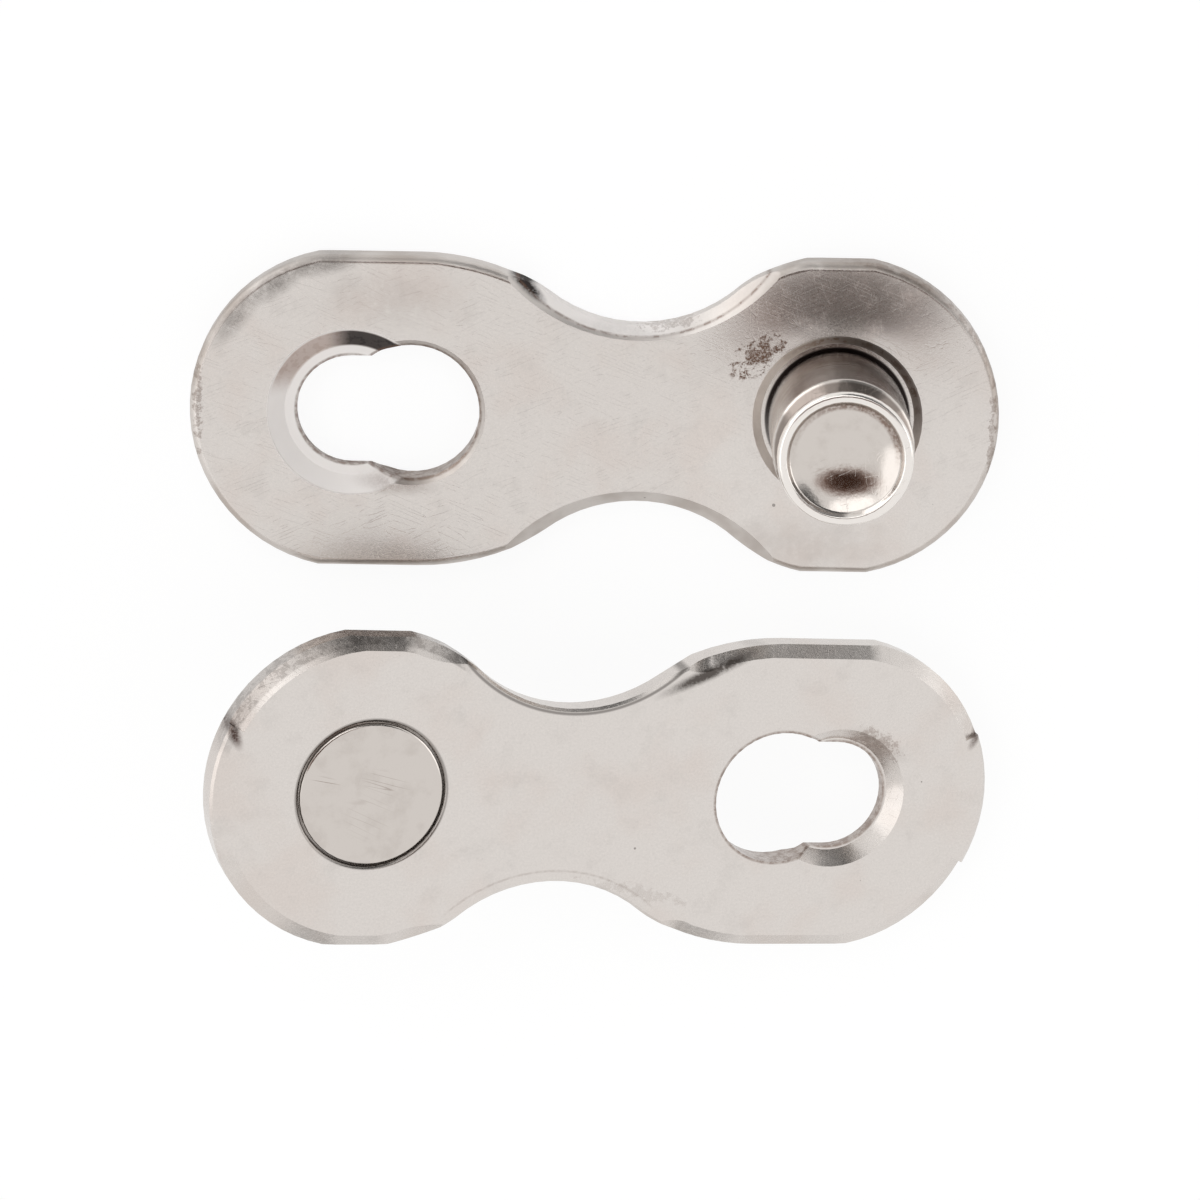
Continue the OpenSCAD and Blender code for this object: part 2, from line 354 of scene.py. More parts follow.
# %% [markdown]
# ## Nickel-plated stamped steel
#
# The plates are punched from strip steel, tumbled and nickel-plated. Nickel is
# a metal with a warm, slightly pink grey, so the shader is fully metallic and
# keeps its usual IOR. Tumbling leaves the faces satin: they mirror the light
# tent as a soft even grey, with faint clouds where the plating is thicker.
#
# All of it is noise on the face's own millimetres. Each range below says from
# which to which value of a noise a look grows, and between which amounts.

# %% The bare plating
PLATE_GREY = "D9D3CE"
PLATE_PINK = "D3C6BE"
PLATE_DULL = "C4BEB9"
# noise: how often it changes in 1 mm, how many finer layers lie on it, and how
# strong they are. Clouds of the plating are 2 mm wide, patches of the veil
# 0.8 mm and flakes of crust 0.25 mm. The grain is 0.07 mm, coarser than the
# real one, which would be too fine to show.
PLATE_NOISE = {
    "clouds": (0.5, 3.0, 0.5),
    "veil": (1.3, 4.0, 0.65),
    "grain": (15.0, 2.0, 0.8),
    "crust": (4.0, 4.0, 0.75),
}
PINK_CLOUDS = (0.45, 0.7, 0.0, 0.35)
DULL_VEIL = (0.5, 0.75, 0.0, 0.3)
GRAIN_SHADE = (0.3, 0.7, 0.96, 1.02)


def bare_plating(tree, noise):
    """The colour of clean plating: pink clouds, a dull veil, and a grainy shade."""
    pink = add(tree, "MapRange", noise["clouds"], *PINK_CLOUDS, **SMOOTH)
    colour = add(tree, "Mix", pink, linear(PLATE_GREY), linear(PLATE_PINK), **COLOURS)
    dull = add(tree, "MapRange", noise["veil"], *DULL_VEIL, **SMOOTH)
    colour = add(tree, "Mix", dull, colour, linear(PLATE_DULL), **COLOURS)
    shade = add(tree, "MapRange", noise["grain"], *GRAIN_SHADE, **SMOOTH)
    shade = add(tree, "CombineColor", shade, shade, shade)
    return add(tree, "Mix", 1.0, colour, shade, blend_type="MULTIPLY", **COLOURS)


print("noise of the plates:", ", ".join(PLATE_NOISE))

# %% [markdown]
# ## Torn and pressed metal
#
# Where the press tore the metal, along the waist's crescent and in part of the
# keyhole's seat, it is matt and pale and mirrors nothing. More roughness alone
# would still take its light from one side of the tent. So there the shader is
# hardly metallic, which gives an even pale grey.

# %% Torn places
PLATE_MATT = "F2EEEB"
TORN_EDGE_MM = 0.04


def torn_places(tree, place, on_face, places):
    """1 where the metal is torn or pressed matt, 0 elsewhere."""
    matt = 0.0
    for centre, radius, fade_x in places:
        away = reach(tree, place, centre)
        soft = (radius + TORN_EDGE_MM, radius - TORN_EDGE_MM)
        torn = add(tree, "MapRange", away, *soft, **SMOOTH)
        side = add(tree, "MapRange", on_face["X"], *fade_x, **SMOOTH)
        torn = add(tree, "Math", torn, side, operation="MULTIPLY")
        matt = add(tree, "Math", matt, torn, operation="MAXIMUM")
    return matt


print("torn metal fades over", 2 * TORN_EDGE_MM, "mm")


# %% [markdown]
# ## Smears and crusts
#
# On top of the metal lies what years of use and oil left. A smear is a patch
# that is thin here and dense there, and a crust keeps together in flakes that
# are lacy inside. A picture of dirt could be laid on, but each mark has its
# own place, size and strength, so they are drawn from the patches and noise
# above. Dirt also dulls the mirror below it. Some smears are not dirt but
# painted shade and painted dark reflections, which each half's marks name.

# %% Smears
# the grey and the near-black below also colour painted shade and painted dark reflections, and
# the brown also colours painted shade in the keyhole and a painted dark reflection round the
# upper pin
BROWN_OIL_AND_SHADE = "6B5142"
GREY_OIL_AND_SHADE = "5D5753"
GRIME_AND_SHADE = "2A2422"
RUST_RED = "4F3A34"
# a smear's thickness follows crust and veil, and then the grain. It fades almost
# from its middle, and where it is thickest the metal is this much rougher.
CRUST_SHARE, VEIL_SHARE = 0.4, 0.6
SMEAR_DENSE = (0.28, 0.55)
SMEAR_GRAIN = (0.35, 0.6, 0.8, 1.08)
SMEAR_EDGE = 0.1
SMEAR_DULLS = 0.1


def smears(tree, place, noise, marks, colour):
    """The colour with smears on it, and how much rougher they make the metal."""
    veil = add(tree, "Math", noise["veil"], VEIL_SHARE, operation="MULTIPLY")
    uneven = add(tree, "Math", noise["crust"], CRUST_SHARE, veil, operation="MULTIPLY_ADD")
    uneven = add(tree, "MapRange", uneven, *SMEAR_DENSE, **SMOOTH)
    grain = add(tree, "MapRange", noise["grain"], *SMEAR_GRAIN, **SMOOTH)
    uneven = add(tree, "Math", uneven, grain, operation="MULTIPLY")
    dull = 0.0
    for centre, size, angle, amount, hex_colour in marks:
        smear = patch(tree, place, centre, size, angle, SMEAR_EDGE)
        smear = add(tree, "Math", smear, uneven, operation="MULTIPLY")
        smear = add(tree, "Math", smear, amount, operation="MULTIPLY")
        colour = add(tree, "Mix", smear, colour, linear(hex_colour), **COLOURS)
        duller = add(tree, "Math", smear, SMEAR_DULLS, operation="MULTIPLY")
        dull = add(tree, "Math", dull, duller, operation="MAXIMUM")
    return colour, dull


print("dirt:", BROWN_OIL_AND_SHADE, GREY_OIL_AND_SHADE, GRIME_AND_SHADE, RUST_RED)


# %% Crusts and pits
# a crust is denser towards its middle, breaks into flakes, thins out at its end,
# and is lacy where the grain is low
CRUST_INWARD = 0.2
CRUST_FLAKES = (0.57, 0.64)
CRUST_END = (0.0, 0.15)
CRUST_GRAIN = (0.38, 0.55, 0.35, 1.0)
PITS_APART_MM, PIT_MM, PITTED_SHARE = 1.1, 0.05, 0.35
PIT_STRENGTH = 0.6


def crusts(tree, place, noise, marks):
    """How thick crusts of old oil lie on the metal, from 0 to 1."""
    crust = 0.0
    for centre, size, angle, amount in marks:
        inside = patch(tree, place, centre, size, angle, 0.0)
        flakes = add(tree, "Math", inside, CRUST_INWARD, noise["crust"], operation="MULTIPLY_ADD")
        flakes = add(tree, "MapRange", flakes, *CRUST_FLAKES, **SMOOTH)
        end = add(tree, "MapRange", inside, *CRUST_END, **SMOOTH)
        flakes = add(tree, "Math", flakes, end, operation="MULTIPLY")
        grain = add(tree, "MapRange", noise["grain"], *CRUST_GRAIN, **SMOOTH)
        flakes = add(tree, "Math", flakes, grain, operation="MULTIPLY")
        flakes = add(tree, "Math", flakes, amount, operation="MULTIPLY")
        crust = add(tree, "Math", crust, flakes, operation="MAXIMUM")
    return crust


def crusts_and_pits(tree, place, noise, marks, colour):
    """The colour with crusts and pits on it, and how thick the crusts are."""
    crust = crusts(tree, place, noise, marks)
    colour = add(tree, "Mix", crust, colour, linear(BROWN_OIL_AND_SHADE), **COLOURS)
    dots = pits(tree, place, PITS_APART_MM, PIT_MM, PITTED_SHARE)
    dots = add(tree, "Math", dots, PIT_STRENGTH, operation="MULTIPLY")
    return add(tree, "Mix", dots, colour, linear(GREY_OIL_AND_SHADE), **COLOURS), crust


print("pits: in", PITTED_SHARE, "of the cells, which are", PITS_APART_MM, "mm wide")


# %% [markdown]
# ## Dirt and painted shade in corners
#
# Rings darken corners and edges. Round the upper pin's foot and at the top of
# the keyhole's seat they are painted shade, for the dark of the gap and of the
# hollow. On the bands, the waist and the ring round the upper pin some are
# painted dark reflections, and the rest are dirt; each half's marks say which.
# The keyhole gets a thin brown line of dirt round its rim, and on its walls a
# brown that is painted shade. All of these are rings round an axis, so they
# need no more than a reach and a band, and a ring may fade out along the plate
# or be broken by the crust's noise.

# %% Rings
BURNT = "A3897C"
RING_SOFT_MM = 0.03
RING_BROKEN = (0.42, 0.56)


def rings(tree, place, on_face, noise, marks, colour):
    """The colour with rings of dirt, painted shade and painted dark reflections on it."""
    broken = add(tree, "MapRange", noise["crust"], *RING_BROKEN, **SMOOTH)
    for centre, radii, fade_x, fade_y, whole, amount, hex_colour in marks:
        ring = band(tree, reach(tree, place, centre), *radii, RING_SOFT_MM)
        ring = add(tree, "Math", ring, amount, operation="MULTIPLY")
        for axis, fade in (("X", fade_x), ("Y", fade_y)):
            if fade:
                side = add(tree, "MapRange", on_face[axis], *fade, **SMOOTH)
                ring = add(tree, "Math", ring, side, operation="MULTIPLY")
        if whole < 1:
            left = add(tree, "Math", broken, whole, operation="MAXIMUM")
            ring = add(tree, "Math", ring, left, operation="MULTIPLY")
        colour = add(tree, "Mix", ring, colour, linear(hex_colour), **COLOURS)
    return colour


print("rings fade over", 2 * RING_SOFT_MM, "mm")


# %% The keyhole's rim
THROAT_R = 1.44
ENTRY_R = 1.78
LOCK_TRAVEL = 1.57
ENTRY_AT = (KEYHOLE_AT[0] + LOCK_TRAVEL, 0)
RIM_MM = (0.09, 0.03)
RIM_UNEVEN = (0.4, 0.6, 0.5, 1.0)


def keyhole_rim(tree, place, noise, amount, colour):
    """The colour with a thin brown line of dirt round the keyhole, and painted shade on its
    walls.
    """
    throat = add(tree, "Math", reach(tree, place, KEYHOLE_AT), THROAT_R, operation="SUBTRACT")
    entry = add(tree, "Math", reach(tree, place, ENTRY_AT), ENTRY_R, operation="SUBTRACT")
    away = add(tree, "Math", throat, entry, operation="MINIMUM")
    rim = add(tree, "MapRange", away, *RIM_MM, **SMOOTH)
    uneven = add(tree, "MapRange", noise["crust"], *RIM_UNEVEN, **SMOOTH)
    rim = add(tree, "Math", rim, uneven, operation="MULTIPLY")
    rim = add(tree, "Math", rim, amount, operation="MULTIPLY")
    return add(tree, "Mix", rim, colour, linear(BROWN_OIL_AND_SHADE), **COLOURS)


print("keyhole's opening at x", round(ENTRY_AT[0], 2), "mm on its half")

# %% [markdown]
# ## Worn edges
#
# Tumbling wears the rounded edges more than the faces, so they are more matt,
# and browned in places. Where the surface slopes against the half's own up
# axis, it is an edge or a wall. The Geometry node gives the normal for that,
# and so the wear follows the real rounding of the mesh. The waist and the torn
# places keep clear of the browning.

# %% Edges
EDGE_BROWN = "978B81"
SLOPE = (0.995, 0.93)
BROWN_CLOUDS = (0.4, 0.62, 0.2, 1.0)
WAIST_AT = (1.15, 6.24)
OFF_WAIST_MM = (4.2, 4.5)


def sloping_metal(tree, half):
    """1 on the rounded edges and the walls, 0 on both faces."""
    normal = add(tree, "NewGeometry").node.outputs["Normal"]
    up = HALVES[half].to_3x3().col[2]
    facing = add(tree, "VectorMath", normal, up, operation="DOT_PRODUCT")
    facing = add(tree, "Math", facing, operation="ABSOLUTE")
    return add(tree, "MapRange", facing, *SLOPE, **SMOOTH)


def browned_edges(tree, place, noise, sloping, matt, amount, colour):
    """The colour with edges that are browned in places."""
    clouds = add(tree, "MapRange", noise["clouds"], *BROWN_CLOUDS, **SMOOTH)
    brown = add(tree, "Math", sloping, clouds, operation="MULTIPLY")
    whole = add(tree, "Math", 1.0, matt, operation="SUBTRACT")
    brown = add(tree, "Math", brown, whole, operation="MULTIPLY")
    off_waist = add(tree, "MapRange", reach(tree, place, WAIST_AT), *OFF_WAIST_MM, **SMOOTH)
    brown = add(tree, "Math", brown, off_waist, operation="MULTIPLY")
    brown = add(tree, "Math", brown, amount, operation="MULTIPLY")
    return add(tree, "Mix", brown, colour, linear(EDGE_BROWN), **COLOURS)


print("edges slope by more than", round(math.degrees(math.acos(SLOPE[0])), 1), "degrees")


# %% [markdown]
# ## Shallow relief
#
# These are the scratches, the tumbled grain, and on the inner face a gentle
# fall towards the pin's round end. They are too shallow to need geometry: a
# bump turns them into small changes of the mirror image, in true heights.

# %% The plate's relief
# scratch: the angle that it runs at, its length in mm, its width as a share of
# the noise, and from which to which value of the veil its gate opens
PLATE_SCRATCHES = (
    (24, 1.5, 0.012, (0.44, 0.58)),
    (103, 1.1, 0.012, (0.56, 0.42)),
    (158, 1.9, 0.01, (0.56, 0.42)),
)
PLATE_SCRATCH_MM = 0.0008
PLATE_GRAIN_MM = 0.0015
# from the pin's axis to beyond the round end
ROUND_END_MM = 4.5


def plate_relief(tree, place, noise, rolls):
    """The normal of a scratched, grainy face that falls towards its round end."""
    lines = 0.0
    for angle, length, width, opens in PLATE_SCRATCHES:
        gate = add(tree, "MapRange", noise["veil"], *opens, **SMOOTH)
        drawn = scratches(tree, place, angle, length, width, gate)
        lines = add(tree, "Math", lines, drawn, operation="MAXIMUM")
    height = add(tree, "Math", lines, -PLATE_SCRATCH_MM, operation="MULTIPLY")
    grain = add(tree, "Math", noise["grain"], PLATE_GRAIN_MM, operation="MULTIPLY")
    height = add(tree, "Math", height, grain, operation="ADD")
    for start, drop in rolls:
        away = reach(tree, place, PIN_AT)
        fall = add(tree, "MapRange", away, start, ROUND_END_MM, 0.0, drop, **SMOOTH)
        height = add(tree, "Math", height, fall, operation="SUBTRACT")
    return add(tree, "Bump", Height=height, Distance=MM, Strength=1.0)


print("on the plates, scratches are", PLATE_SCRATCH_MM, "mm deep and the grain", PLATE_GRAIN_MM)


# %% [markdown]
# ## The plate's finish, put together
#
# The layers lie on each other as on the real plate: plating, torn metal,
# smears, crusts, rings, the keyhole's rim, worn edges. The roughness is that
# of satin metal, and dirt, torn metal and worn edges add to it.

# %% Plate steel
PLATE_ROUGHNESS = (0.3, 0.7, 0.19, 0.25)
CRUST_ROUGHNESS = 0.3
TORN_ROUGHNESS = 0.3
TORN_METALLIC = 0.15


def plate_steel(half, marks):
    """The plate's finish, with the marks of its half."""
    material, tree, shader, place = new_finish("nickel_plated_steel", half)
    on_face = add(tree, "SeparateXYZ", place).node.outputs
    noise = {
        name: add(tree, "TexNoise", place, Scale=scale, Detail=layers, Roughness=strength)
        for name, (scale, layers, strength) in PLATE_NOISE.items()
    }
    matt = torn_places(tree, place, on_face, marks["matt"])
    sloping = sloping_metal(tree, half)
    colour = add(tree, "Mix", matt, bare_plating(tree, noise), linear(PLATE_MATT), **COLOURS)
    colour, dull = smears(tree, place, noise, marks["smears"], colour)
    colour, crust = crusts_and_pits(tree, place, noise, marks["crusts"], colour)
    colour = rings(tree, place, on_face, noise, marks["rings"], colour)
    colour = keyhole_rim(tree, place, noise, marks["rim"], colour)
    colour = browned_edges(tree, place, noise, sloping, matt, marks["browned"], colour)
    tree.links.new(colour, shader.inputs["Base Color"])

    roughness = add(tree, "MapRange", noise["grain"], *PLATE_ROUGHNESS, **SMOOTH)
    crusted = add(tree, "Math", crust, CRUST_ROUGHNESS, operation="MULTIPLY")
    torn = add(tree, "Math", matt, TORN_ROUGHNESS, operation="MULTIPLY")
    worn = add(tree, "Math", sloping, marks["edge"], operation="MULTIPLY")
    for more in (crusted, dull, torn, worn):
        roughness = add(tree, "Math", roughness, more, operation="ADD")
    tree.links.new(roughness, shader.inputs["Roughness"])
    metallic = add(tree, "MapRange", matt, 0.0, 1.0, 1.0, TORN_METALLIC, **SMOOTH)
    tree.links.new(metallic, shader.inputs["Metallic"])
    relief = plate_relief(tree, place, noise, marks["rolls"])
    tree.links.new(relief, shader.inputs["Normal"])
    return material


# %% [markdown]
# ## The marks of each half
#
# The two halves were made alike and used differently, so each lists its own
# marks, in mm on its own face. Some of them are painted shade and painted dark
# reflections, and a comment says so at each. smears: middle, half the size,
# turn in degrees, strength, colour. crusts: the same without a colour. rings:
# middle, the two radii, where along X and along Y it starts and where it is
# full, 1 where it is whole and 0 where it is broken, strength, colour. matt: the
# middle and radius of a torn or pressed place, and where along X it starts and
# is full. rim: how strong the line round the keyhole is. edge: how much rougher
# the edges are. browned: how brown they are. rolls: how far from the pin's
# axis the face starts to fall, and how deep.

# %% The upper half's marks
UPPER_MARKS = {
    "smears": [
        # painted dark reflection: two grey smears between the pin's collar and the top edge,
        # where the slightly dished face mirrors something dark
        ((6.8, 3.3), (3.7, 1.4), -5, 0.47, GREY_OIL_AND_SHADE),
        ((6.3, 2.6), (2.2, 0.7), 0, 0.5, GREY_OIL_AND_SHADE),
        # painted shade: three grey smears along the top left edge, where the face curves over
        # towards it
        ((-9.35, 2.5), (1.2, 0.45), 52, 0.5, GREY_OIL_AND_SHADE),
        ((-8.3, 3.4), (1.2, 0.45), 34, 0.6, GREY_OIL_AND_SHADE),
        ((-7.1, 3.9), (1.3, 0.4), 12, 0.6, GREY_OIL_AND_SHADE),
        ((-5.2, -1.9), (1.4, 0.4), -4, 0.4, BROWN_OIL_AND_SHADE),
        ((-1.85, 3.45), (0.9, 0.2), -44, 1.5, GRIME_AND_SHADE),
        ((0.6, 2.25), (2.2, 0.25), -8, 0.15, GREY_OIL_AND_SHADE),
        ((5.5, -3.4), (3.2, 1.0), 0, 0.15, BROWN_OIL_AND_SHADE),
        ((-5.3, 3.0), (2.8, 1.1), 0, 0.12, BROWN_OIL_AND_SHADE),
    ],
    "crusts": [
        ((4.25, 1.7), (1.1, 0.6), 38, 0.95),
        ((-10.35, 0.3), (0.2, 2.0), 0, 0.45),
        ((10.4, -0.6), (0.16, 2.2), 0, 0.4),
        ((1.9, 2.45), (1.2, 0.25), 8, 0.3),
    ],
    "rings": [
        # painted shade: a near-black ring in the gap round the pin's foot, strongest on its upper
        # side
        (PIN_AT, (1.75, 1.9), None, (-3.0, 0.6), 1, 1.0, GRIME_AND_SHADE),
        # brown, and a painted dark reflection: the coined ring round the pin is darkened only on
        # its upper right
        (PIN_AT, (2.02, 2.18), (4.3, 6.2), (-0.7, 0.8), 0.6, 0.85, BROWN_OIL_AND_SHADE),
        (WAIST_AT, (4.12, 4.17), None, (1.9, 2.1), 0.5, 0.75, BROWN_OIL_AND_SHADE),
        (PIN_AT, (4.1, 4.3), (6.0, 7.0), (-2.0, 0.0), 0.3, 0.4, BROWN_OIL_AND_SHADE),
        (KEYHOLE_AT, (1.72, 2.16), None, (0.3, 1.1), 0.85, 0.75, BURNT),
        # painted shade: near-black at the top of the keyhole's seat, where the hollow is dark
        (KEYHOLE_AT, (1.72, 2.16), (-7.1, -6.3), (1.2, 1.6), 0.95, 1.0, GRIME_AND_SHADE),
    ],
    "matt": [(KEYHOLE_AT, 2.2, (0.0, -1.0)), (WAIST_AT, 4.16, (3.2, 1.4))],
    "rim": 0.8,
    "edge": 0.2,
    "browned": 0.5,
    "rolls": [(2.0, 0.24)],
}
print("upper half:", len(UPPER_MARKS["smears"]), "smears,", len(UPPER_MARKS["rings"]), "rings")

# %% The lower half's marks
UNDER_WAIST = (1.15, -6.24)
LOWER_MARKS = {
    "smears": [
        ((10.1, 1.6), (0.22, 0.6), -24, 1.1, RUST_RED),
        ((-10.1, 1.7), (0.17, 0.45), 24, 0.8, RUST_RED),
        ((-7.3, 1.5), (1.1, 0.4), 24, 0.35, BROWN_OIL_AND_SHADE),
        ((-2.5, 3.4), (1.9, 0.24), -26, 1.3, GREY_OIL_AND_SHADE),
    ],
    "crusts": [
        ((-7.4, 1.5), (1.1, 0.5), 25, 0.35),
        ((-1.0, -2.6), (2.4, 0.3), 10, 0.15),
    ],
    "rings": [
        (PIN_AT, (1.88, 2.03), None, None, 1, 0.6, GREY_OIL_AND_SHADE),
        # painted dark reflection: a mottled grey band on the round end's slope beside the pin, on
        # its upper side
        (PIN_AT, (3.97, 4.3), (3.9, 4.5), (0.8, 1.8), 0.5, 0.5, GREY_OIL_AND_SHADE),
        # painted dark reflection: a grey line along the waist's rounded edge
        (WAIST_AT, (3.98, 4.06), None, (1.0, 1.2), 1, 0.7, GREY_OIL_AND_SHADE),
        (UNDER_WAIST, (4.17, 4.22), (-2.0, -1.0), (-3.4, -3.0), 0.5, 0.25, BROWN_OIL_AND_SHADE),
    ],
    "matt": [],
    "rim": 0.7,
    "edge": 0.03,
    "browned": 0.1,
    "rolls": [],
}
print("lower half:", len(LOWER_MARKS["smears"]), "smears,", len(LOWER_MARKS["rings"]), "rings")

# %% Finish the plates
for half, marks in (("upper", UPPER_MARKS), ("lower", LOWER_MARKS)):
    plates[half].data.materials.clear()
    plates[half].data.materials.append(plate_steel(half, marks))
    print(plates[half].name, "is of", plates[half].data.materials[0].name)

# %% [markdown]
# ## Nickel-plated turned steel
#
# The pins come off a lathe, so they are smoother than the plates, and their
# sides carry very fine rings: a noise that changes only along the pin. The
# barrel's colour is darker on its right and upper side, a painted shade for the
# dark that it mirrors there; the shoulder is brown; the head's rim carries a
# painted highlight; and a film of oil lies in the dish. Their rear disc was
# struck flat when they were riveted, which left short scratches.

# %% Bare turned steel
PIN_GREY = "CFC8C2"
PIN_DULL = "B4ABA4"
# The veil's patches are 0.6 mm wide. The grain is 0.09 mm and the turned rings
# are 0.11 mm apart, both coarser than the real ones, which would not show.
PIN_NOISE = {"veil": (1.6, 4.0, 0.6), "grain": (11.0, 3.0, 0.6)}
TURNED_PER_MM = 9.0
TURNED_LAYERS = 2.0
PIN_VEIL = (0.45, 0.7, 0.0, 0.3)
NICK_LENGTH_MM, NICK_WIDTH, NICK_EDGE = 3.0, 0.035, 0.3


def bare_turned(tree, place, noise, nicks):
    """The colour of the turned pin with nicks on its ends, and where these are."""
    veil = add(tree, "MapRange", noise["veil"], *PIN_VEIL, **SMOOTH)
    colour = add(tree, "Mix", veil, linear(PIN_GREY), linear(PIN_DULL), **COLOURS)
    nicked = 0.0
    for centre, size, angle, amount in nicks:
        gate = patch(tree, place, centre, size, angle, NICK_EDGE)
        lines = scratches(tree, place, angle, NICK_LENGTH_MM, NICK_WIDTH, gate)
        lines = add(tree, "Math", lines, amount, operation="MULTIPLY")
        nicked = add(tree, "Math", nicked, lines, operation="MAXIMUM")
    return add(tree, "Mix", nicked, colour, linear(BROWN_OIL_AND_SHADE), **COLOURS), nicked


print("noise of the pins:", ", ".join(PIN_NOISE), "and turned rings")

# %% The barrel's painted shade and the shoulder
# the barrel's colour is darkened on its right and upper side: a painted shade for the dark that
# the barrel mirrors there, broken by the turned rings
BARREL_SHADE = "7E7774"
PIN_BROWN = "7D726B"
BARREL_FOOT_MM, BARREL_TOP_MM, NECK_FOOT_MM = -0.2, 3.49, 3.91
PIN_SOFT_MM = 0.03
BARREL_SHADE_AT = (PITCH / 2 + 1.5, 0.9)
BARREL_SHADE_SIZE = (3.2, 2.2)
BARREL_SHADE_EDGE = 0.3
BARREL_SHADE_TURNED = (0.3, 0.6, 0.75, 1.0)
SHOULDER_MM = (BARREL_TOP_MM + 0.06, NECK_FOOT_MM + 0.1)
SHOULDER_STRENGTH = 0.85


def shaded_barrel_side(tree, place, along, turned, barrel, colour):
    """The colour with painted shade on the barrel's right and upper side, and the shoulder brown.
    """
    worn = patch(tree, place, BARREL_SHADE_AT, BARREL_SHADE_SIZE, 0, BARREL_SHADE_EDGE)
    lines = add(tree, "MapRange", turned, *BARREL_SHADE_TURNED, **SMOOTH)
    worn = add(tree, "Math", worn, lines, operation="MULTIPLY")
    worn = add(tree, "Math", barrel, worn, operation="MULTIPLY")
    colour = add(tree, "Mix", worn, colour, linear(BARREL_SHADE), **COLOURS)
    shoulder = band(tree, along, *SHOULDER_MM, PIN_SOFT_MM)
    shoulder = add(tree, "Math", shoulder, SHOULDER_STRENGTH, operation="MULTIPLY")
    return add(tree, "Mix", shoulder, colour, linear(PIN_BROWN), **COLOURS)


print("above the face, the barrel ends at", BARREL_TOP_MM, "mm, the shoulder at", NECK_FOOT_MM)


# %% The head's rim with a painted highlight, and the film in its dish
# the head's rim gets a painted highlight, a near-white colour for the bright light that it
# mirrors
RIM_HIGHLIGHT = "F1ECE7"
# above the face, where the head starts; the radii of its dish and of its rim
HEAD_MM = (NECK_FOOT_MM + 0.3, NECK_FOOT_MM + 0.5)
DISH_R, HEAD_R = 1.47, 1.8
RIM_SOFT_MM, RIM_HIGHLIGHT_STRENGTH = 0.04, 0.8
FILM_RADII, FILM_SOFT_MM = (DISH_R - 0.2, DISH_R - 0.03), 0.06
FILM_X = (PITCH / 2 - 2.0, PITCH / 2 + 0.3)
FILM_Y = (-0.3, 0.5)
FILM_GRAIN = (0.35, 0.6, 0.4, 0.85)


def rim_highlight_and_film(tree, place, on_face, noise, colour):
    """The colour with a painted highlight on the head's rim, and a film of oil in its dish."""
    on_head = add(tree, "MapRange", on_face["Z"], *HEAD_MM, **SMOOTH)
    away = reach(tree, place, PIN_AT)
    rim = band(tree, away, DISH_R, HEAD_R, RIM_SOFT_MM)
    rim = add(tree, "Math", rim, on_head, operation="MULTIPLY")
    rim = add(tree, "Math", rim, RIM_HIGHLIGHT_STRENGTH, operation="MULTIPLY")
    colour = add(tree, "Mix", rim, colour, linear(RIM_HIGHLIGHT), **COLOURS)
    film = band(tree, away, *FILM_RADII, FILM_SOFT_MM)
    film = add(tree, "Math", film, on_head, operation="MULTIPLY")
    for axis, fade in (("X", FILM_X), ("Y", FILM_Y)):
        side = add(tree, "MapRange", on_face[axis], *fade, **SMOOTH)
        film = add(tree, "Math", film, side, operation="MULTIPLY")
    grain = add(tree, "MapRange", noise["grain"], *FILM_GRAIN, **SMOOTH)
    film = add(tree, "Math", film, grain, operation="MULTIPLY")
    return add(tree, "Mix", film, colour, linear(BROWN_OIL_AND_SHADE), **COLOURS)


print("the film lies between radii of", [round(r, 2) for r in FILM_RADII], "mm")


# %% The pin's relief
# scratch: the angle that it runs at, and its length in mm
PIN_SCRATCHES = ((28, 1.2), (96, 1.4))
PIN_SCRATCH_WIDTH = 0.008
PIN_SCRATCH_GATE = (0.5, 0.6)
PIN_SCRATCH_MM = 0.001
PIN_GRAIN_MM = 0.0012
PIN_VEIL_MM = 0.004
TURNED_MM = 0.004


def pin_relief(tree, place, noise, turned):
    """The normal of a scratched and grainy turned face. turned: the rings on the barrel."""
    lines = 0.0
    for angle, length in PIN_SCRATCHES:
        gate = add(tree, "MapRange", noise["veil"], *PIN_SCRATCH_GATE, **SMOOTH)
        drawn = scratches(tree, place, angle, length, PIN_SCRATCH_WIDTH, gate)
        lines = add(tree, "Math", lines, drawn, operation="MAXIMUM")
    height = add(tree, "Math", lines, -PIN_SCRATCH_MM, operation="MULTIPLY")
    for part, part_mm in (
        (noise["grain"], PIN_GRAIN_MM), (noise["veil"], PIN_VEIL_MM), (turned, TURNED_MM)
    ):
        part = add(tree, "Math", part, part_mm, operation="MULTIPLY")
        height = add(tree, "Math", height, part, operation="ADD")
    return add(tree, "Bump", Height=height, Distance=MM, Strength=1.0)


print("the turned rings are", TURNED_MM, "mm high and", round(1 / TURNED_PER_MM, 2), "mm apart")


# %% Pin steel
PIN_ROUGHNESS = (0.3, 0.7, 0.1, 0.16)
NICK_ROUGHNESS = 0.25


